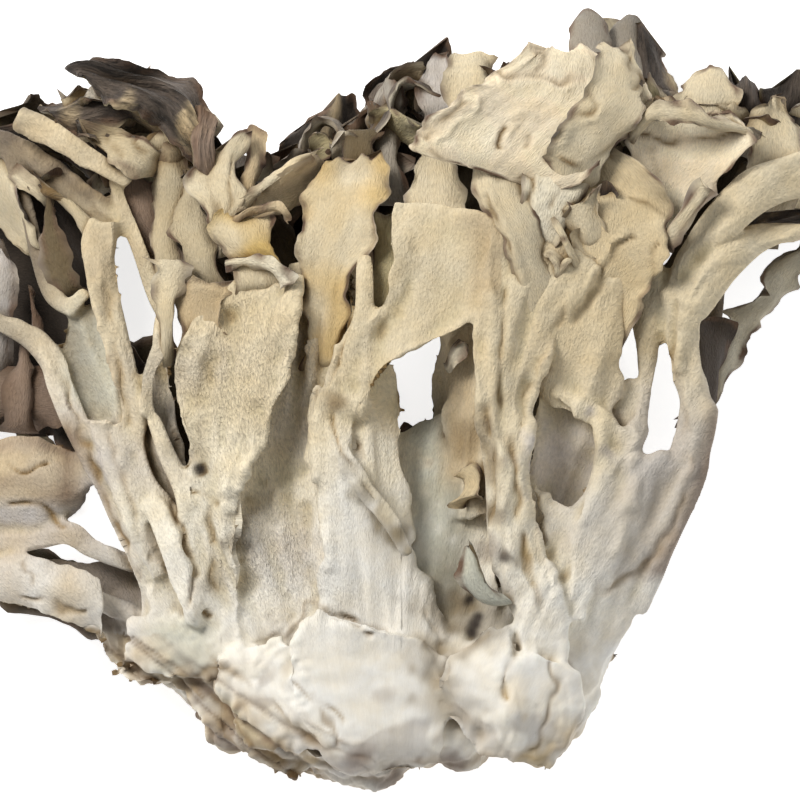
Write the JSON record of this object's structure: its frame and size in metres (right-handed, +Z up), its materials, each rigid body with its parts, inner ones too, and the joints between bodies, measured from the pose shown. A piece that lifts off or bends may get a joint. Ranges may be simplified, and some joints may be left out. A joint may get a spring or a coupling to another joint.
{
  "type": "dried maitake mushroom",
  "caption": "Dried maitake cluster: a cut white base with branching stalks and ruffled pored fronds, lying on its back.",
  "frame": {"origin": "middle of the underside of the cluster's box, on the surface that it lies on", "axes": "+Z up, towards the pale pored side that shows; +Y from the cut base to the crown; +X across the cluster"},
  "size_m": [0.1842, 0.1598, 0.052],
  "materials": {
    "dried_flesh": "matte"
  },
  "bodies": {
    "root": {"fruiting_body": "dried_flesh"}
  },
  "joints": []
}
